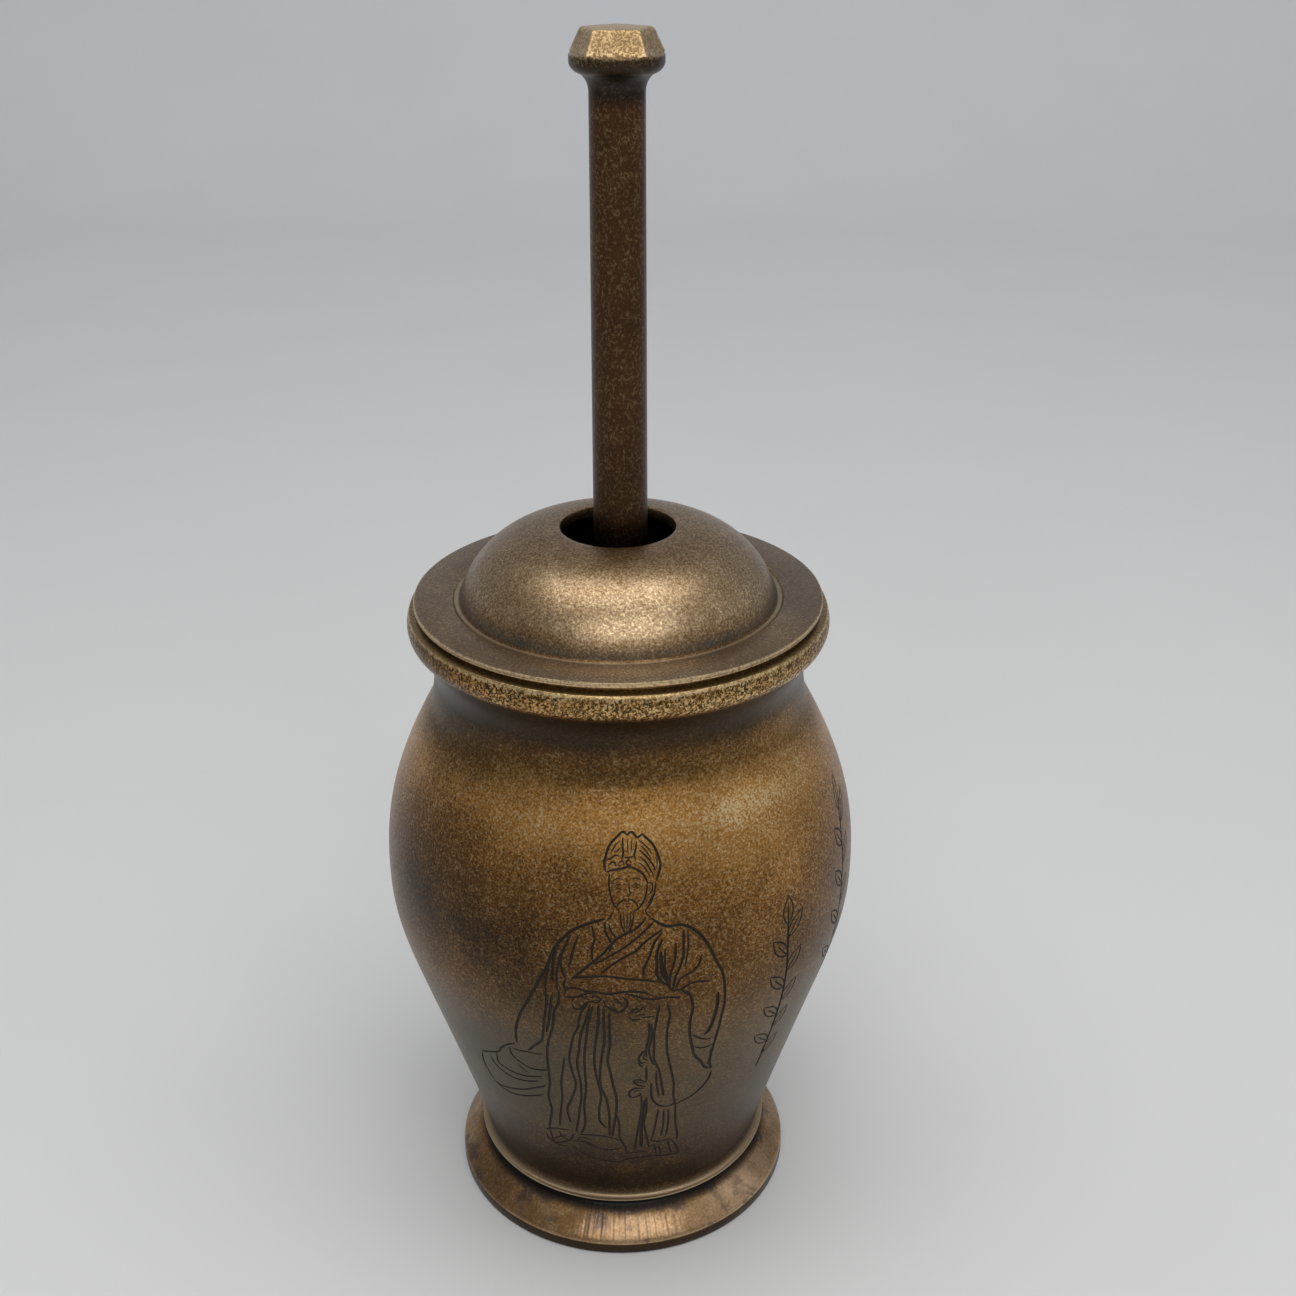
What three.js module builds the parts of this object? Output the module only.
import * as THREE from 'three';

// A brass jar for pounding medicine: a bowl brazed to a foot ring, a domed lid with a hole in
// its middle, and a pestle that stands in the bowl and comes out through the lid.
// Sizes are in millimetres. The origin is the centre of the foot's underside, and +Z is up.
// Every outline is a list of (radius, height) points, turned about the Z axis.

// Foot ring
const FOOT_RADIUS = 36.6;
const FOOT_RIM_HEIGHT = 2.7;
const FOOT_SLOPE_HEIGHT = 5.5;
const FOOT_SLOPE_BULGE = 0.5;
const FOOT_HUB_RADIUS = 30.3;
const FOOT_HUB_HEIGHT = 1.0;
const FOOT_BORE_RADIUS = 26.0;
const FOOT_EDGE_BEVEL = 0.4;

// Bowl, outside
const GROOVE_HEIGHT = 1.0;
const LEDGE_OVERHANG = 1.7;
const LEDGE_EDGE_HEIGHT = 0.3;
const LEDGE_COVE_HEIGHT = 2.2;
const LEDGE_COVE_DEPTH = 1.5;
const BELLY_RADIUS = 48.4;
const BELLY_HEIGHT = 80;
const BELLY_HANDLE_BELOW = 14;
const BELLY_HANDLE_ABOVE = 11.8;
const BASE_HANDLE = { out: 14.9, up: 51.2 };
const SHOULDER_RADIUS = 37.4;
const SHOULDER_HEIGHT = 117;
const SHOULDER_HANDLE = { out: 8.9, down: 15.9 };
const NECK_RADIUS = 36.8;
const NECK_HEIGHT = 122;
const LIP_RADIUS = 41.6;
const LIP_HEIGHT = 5.4;
const LIP_TUCK = 1.4;
const RIM_HEIGHT = 136;

// Bowl, inside
const BELLY_WALL = 4.5;
const NECK_WALL = 3.4;
const NECK_BORE_OVERRUN = 4;
const FLOOR_THICKNESS = 6;
const FLOOR_FLAT_RADIUS = 14;
const FLOOR_RISE = 9;

// Lid
const LID_RADIUS = 40;
const LID_EDGE_HEIGHT = 1.0;
const LID_EDGE_BEVEL = 0.25;
const LID_SEAT_INSET = 1.4;
const LID_SEAT_HEIGHT = 1.1;
const LID_HOLE_RADIUS = 11.2;
const DOME_RADIUS = 31.2;
const DOME_HEIGHT = 13.8;
const DOME_SHOULDER = { in: 4.9, down: 0.4 };
const DOME_WALL = 2.2;
const DOME_GROOVE_WIDTH = 1.3;
const DOME_GROOVE_DEPTH = 0.4;
const SPIGOT_HEIGHT = 7.5;
const SPIGOT_WALL = 2.0;
const SPIGOT_CLEARANCE = 0.4;

// Pestle
const PESTLE_LENGTH = 226.9;
const PESTLE_OFFSET = 0.5;
const ROD_TOP_RADIUS = 4.96;
const ROD_TAPER = 0.6;
const HEAD_PASSING_CLEARANCE = 1.2;
const HEAD_HEIGHT = 24;
const HEAD_NECK_HEIGHT = 10;
const HEAD_EDGE_BEVEL = 1.2;
const KNOB_PASSING_CLEARANCE = 2.9;
const KNOB_TOP_RADIUS = 6.6;
const KNOB_CORNER_OVERHANG = 0.4;
const KNOB_BEVEL_HEIGHT = 4.1;
const KNOB_STEP_HEIGHT = 0.2;
const KNOB_BAND_HEIGHT = 1.4;
const KNOB_CHAMFER = { in: 1.8, down: 1.7 };
const KNOB_NECK_HEIGHT = 3.1;
const KNOB_FACETS = 5;

// Fineness of the turned surfaces
const JAR_SEGMENTS = 48;
const PESTLE_SEGMENTS = 30;

const footSlopeTop = FOOT_RIM_HEIGHT + FOOT_SLOPE_HEIGHT;
const bowlBase = footSlopeTop + FOOT_HUB_HEIGHT;
const ledgeBottom = bowlBase + GROOVE_HEIGHT;
const ledgeRadius = FOOT_HUB_RADIUS + LEDGE_OVERHANG;
const wallStart = ledgeBottom + LEDGE_EDGE_HEIGHT + LEDGE_COVE_HEIGHT;
const wallStartRadius = ledgeRadius - LEDGE_COVE_DEPTH;
const floorHeight = bowlBase + FLOOR_THICKNESS;
const mouthRadius = NECK_RADIUS - NECK_WALL;
const lipBottom = RIM_HEIGHT - LIP_HEIGHT;
const lidUnderside = RIM_HEIGHT + LID_SEAT_HEIGHT;
const lidTop = lidUnderside + LID_EDGE_HEIGHT;
const spigotRadius = mouthRadius - SPIGOT_CLEARANCE;
const headRadius = LID_HOLE_RADIUS - HEAD_PASSING_CLEARANCE;
const knobRadius = LID_HOLE_RADIUS - KNOB_PASSING_CLEARANCE;
const knobCornerRadius = knobRadius + KNOB_CORNER_OVERHANG;
const rodFootRadius = ROD_TOP_RADIUS + ROD_TAPER;
const pestleTop = floorHeight + PESTLE_LENGTH;

function at(radius, height) {
  return new THREE.Vector2(radius, height);
}

function cubic(start, startHandle, endHandle, end, steps) {
  return new THREE.CubicBezierCurve(start, startHandle, endHandle, end).getPoints(steps);
}

function quadratic(start, control, end, steps) {
  return new THREE.QuadraticBezierCurve(start, control, end).getPoints(steps);
}

function brass(color, roughness) {
  return new THREE.MeshStandardMaterial({ color, roughness, metalness: 1 });
}

// The outline runs so that the metal lies on its left, which faces the surface outwards.
function turned(name, outline, segments, material) {
  const geometry = new THREE.LatheGeometry(outline, segments);
  geometry.rotateX(Math.PI / 2);
  const mesh = new THREE.Mesh(geometry, material);
  mesh.name = name;
  return mesh;
}

function footRing() {
  const innerTop = at(FOOT_BORE_RADIUS, bowlBase);
  const slopeStart = at(FOOT_RADIUS - FOOT_EDGE_BEVEL, FOOT_RIM_HEIGHT);
  const slopeEnd = at(FOOT_HUB_RADIUS, footSlopeTop);
  const slopeMiddle = slopeStart.clone().lerp(slopeEnd, 0.5);
  slopeMiddle.x += 2 * FOOT_SLOPE_BULGE;
  const outline = [
    innerTop,
    at(FOOT_BORE_RADIUS, 0),
    at(FOOT_RADIUS - FOOT_EDGE_BEVEL, 0),
    at(FOOT_RADIUS, FOOT_EDGE_BEVEL),
    at(FOOT_RADIUS, FOOT_RIM_HEIGHT - FOOT_EDGE_BEVEL),
    ...quadratic(slopeStart, slopeMiddle, slopeEnd, 3),
    at(FOOT_HUB_RADIUS, bowlBase),
    innerTop.clone(),
  ];
  return turned('foot_ring', outline, JAR_SEGMENTS, brass(0x8a6440, 0.4));
}

function bowlOutside() {
  const belly = at(BELLY_RADIUS, BELLY_HEIGHT);
  const cove = quadratic(
    at(ledgeRadius, wallStart - LEDGE_COVE_HEIGHT),
    at(wallStartRadius, wallStart - LEDGE_COVE_HEIGHT),
    at(wallStartRadius, wallStart),
    3,
  );
  const lower = cubic(
    at(wallStartRadius, wallStart),
    at(wallStartRadius + BASE_HANDLE.out, wallStart + BASE_HANDLE.up),
    at(BELLY_RADIUS, BELLY_HEIGHT - BELLY_HANDLE_BELOW),
    belly,
    9,
  );
  const upper = cubic(
    belly,
    at(BELLY_RADIUS, BELLY_HEIGHT + BELLY_HANDLE_ABOVE),
    at(SHOULDER_RADIUS + SHOULDER_HANDLE.out, SHOULDER_HEIGHT - SHOULDER_HANDLE.down),
    at(SHOULDER_RADIUS, SHOULDER_HEIGHT),
    7,
  );
  const neck = quadratic(
    at(NECK_RADIUS, NECK_HEIGHT),
    at(NECK_RADIUS, (NECK_HEIGHT + lipBottom) / 2),
    at(LIP_RADIUS - LIP_TUCK, lipBottom),
    3,
  );
  const lip = quadratic(
    at(LIP_RADIUS - LIP_TUCK / 2, lipBottom + LIP_TUCK / 2),
    at(LIP_RADIUS + LIP_TUCK / 3, RIM_HEIGHT - LIP_HEIGHT / 2),
    at(LIP_RADIUS - LIP_TUCK / 2, RIM_HEIGHT),
    3,
  );
  return [
    at(FOOT_HUB_RADIUS, bowlBase),
    at(FOOT_HUB_RADIUS, ledgeBottom),
    at(ledgeRadius, ledgeBottom),
    ...cove,
    ...lower.slice(1),
    ...upper.slice(1),
    ...neck,
    ...lip,
  ];
}

function bowlInside() {
  const innerBelly = at(BELLY_RADIUS - BELLY_WALL, BELLY_HEIGHT);
  const wallFoot = at(wallStartRadius - BELLY_WALL / 2, floorHeight + FLOOR_RISE);
  const neck = cubic(
    at(mouthRadius, NECK_HEIGHT - NECK_BORE_OVERRUN),
    at(mouthRadius + SHOULDER_HANDLE.out, SHOULDER_HEIGHT - SHOULDER_HANDLE.down),
    at(innerBelly.x, BELLY_HEIGHT + BELLY_HANDLE_ABOVE),
    innerBelly,
    5,
  );
  const lower = cubic(
    innerBelly,
    at(innerBelly.x, BELLY_HEIGHT - BELLY_HANDLE_BELOW),
    at(wallFoot.x + BASE_HANDLE.out / 2, wallFoot.y + BASE_HANDLE.up / 2),
    wallFoot,
    6,
  );
  const floor = quadratic(
    wallFoot,
    at(wallFoot.x - FLOOR_RISE / 3, floorHeight),
    at(FLOOR_FLAT_RADIUS, floorHeight),
    4,
  );
  return [
    at(mouthRadius, RIM_HEIGHT),
    ...neck,
    ...lower.slice(1),
    ...floor.slice(1),
  ];
}

function bowl() {
  const outline = [at(0, bowlBase), ...bowlOutside(), ...bowlInside(), at(0, floorHeight)];
  return turned('bowl', outline, JAR_SEGMENTS, brass(0x7d5f38, 0.42));
}

function lid() {
  const domeBase = at(DOME_RADIUS, lidTop);
  const holeTop = at(LID_HOLE_RADIUS, lidTop + DOME_HEIGHT);
  const grooveOuter = DOME_RADIUS + DOME_GROOVE_WIDTH;
  const grooveFloor = lidTop - DOME_GROOVE_DEPTH;
  const seatRadius = LID_RADIUS - LID_SEAT_INSET;
  const spigotBottom = RIM_HEIGHT - SPIGOT_HEIGHT;
  const spigotInner = spigotRadius - SPIGOT_WALL;
  const dome = quadratic(
    domeBase,
    at(DOME_RADIUS - DOME_SHOULDER.in, holeTop.y - DOME_SHOULDER.down),
    holeTop,
    8,
  );
  const hollow = quadratic(
    at(LID_HOLE_RADIUS, holeTop.y - DOME_WALL),
    at(DOME_RADIUS - DOME_SHOULDER.in - DOME_WALL, holeTop.y - DOME_SHOULDER.down - DOME_WALL),
    at(DOME_RADIUS - DOME_WALL, RIM_HEIGHT),
    6,
  );
  const outline = [
    ...hollow,
    at(spigotInner, RIM_HEIGHT - DOME_WALL),
    at(spigotInner, spigotBottom),
    at(spigotRadius, spigotBottom),
    at(spigotRadius, RIM_HEIGHT),
    at(seatRadius, RIM_HEIGHT),
    at(seatRadius, lidUnderside),
    at(LID_RADIUS - LID_EDGE_BEVEL, lidUnderside),
    at(LID_RADIUS, lidUnderside + LID_EDGE_BEVEL),
    at(LID_RADIUS, lidTop - LID_EDGE_BEVEL),
    at(LID_RADIUS - LID_EDGE_BEVEL, lidTop),
    at(grooveOuter, lidTop),
    at(grooveOuter - DOME_GROOVE_DEPTH, grooveFloor),
    at(DOME_RADIUS, grooveFloor),
    ...dome,
    hollow[0].clone(),
  ];
  return turned('lid', outline, JAR_SEGMENTS, brass(0x735a3a, 0.42));
}

// Turns the round rows at and above a height into equal flat sides, with one side facing -Y.
function cutFacets(geometry, sides, fromHeight) {
  const position = geometry.attributes.position;
  const half = Math.PI / sides;
  for (let i = 0; i < position.count; i += 1) {
    const x = position.getX(i);
    const y = position.getY(i);
    if (position.getZ(i) >= fromHeight) {
      const angle = Math.atan2(x, -y) + 2 * Math.PI + half;
      const offCentre = (angle % (2 * half)) - half;
      const shrink = Math.cos(half) / Math.cos(offCentre);
      position.setX(i, x * shrink);
      position.setY(i, y * shrink);
    }
  }
}

function pestle() {
  const headShoulder = floorHeight + HEAD_HEIGHT;
  const headNeckTop = headShoulder + HEAD_NECK_HEIGHT;
  const bevelBottom = pestleTop - KNOB_BEVEL_HEIGHT;
  const bandTop = bevelBottom - KNOB_STEP_HEIGHT;
  const bandBottom = bandTop - KNOB_BAND_HEIGHT;
  const chamferBottom = bandBottom - KNOB_CHAMFER.down;
  const headNeck = quadratic(
    at(headRadius, headShoulder),
    at(rodFootRadius, headShoulder),
    at(rodFootRadius, headNeckTop),
    5,
  );
  const knobNeck = quadratic(
    at(ROD_TOP_RADIUS, chamferBottom - KNOB_NECK_HEIGHT),
    at(ROD_TOP_RADIUS, chamferBottom - KNOB_NECK_HEIGHT / 3),
    at(knobRadius - KNOB_CHAMFER.in, chamferBottom),
    4,
  );
  const outline = [
    at(0, floorHeight),
    at(headRadius - HEAD_EDGE_BEVEL, floorHeight),
    at(headRadius, floorHeight + HEAD_EDGE_BEVEL),
    ...headNeck,
    ...knobNeck,
    at(knobRadius, bandBottom),
    at(knobRadius, bandTop),
    at(knobCornerRadius, bevelBottom),
    at(KNOB_TOP_RADIUS, pestleTop),
    at(0, pestleTop),
  ];
  const mesh = turned('pestle', outline, PESTLE_SEGMENTS, brass(0x4c3623, 0.42));
  const facetsFrom = bevelBottom - KNOB_STEP_HEIGHT / 2;
  cutFacets(mesh.geometry, KNOB_FACETS, facetsFrom);
  mesh.position.x = PESTLE_OFFSET;
  return mesh;
}

const jar = new THREE.Group();
jar.add(footRing(), bowl(), lid(), pestle());

export default jar;
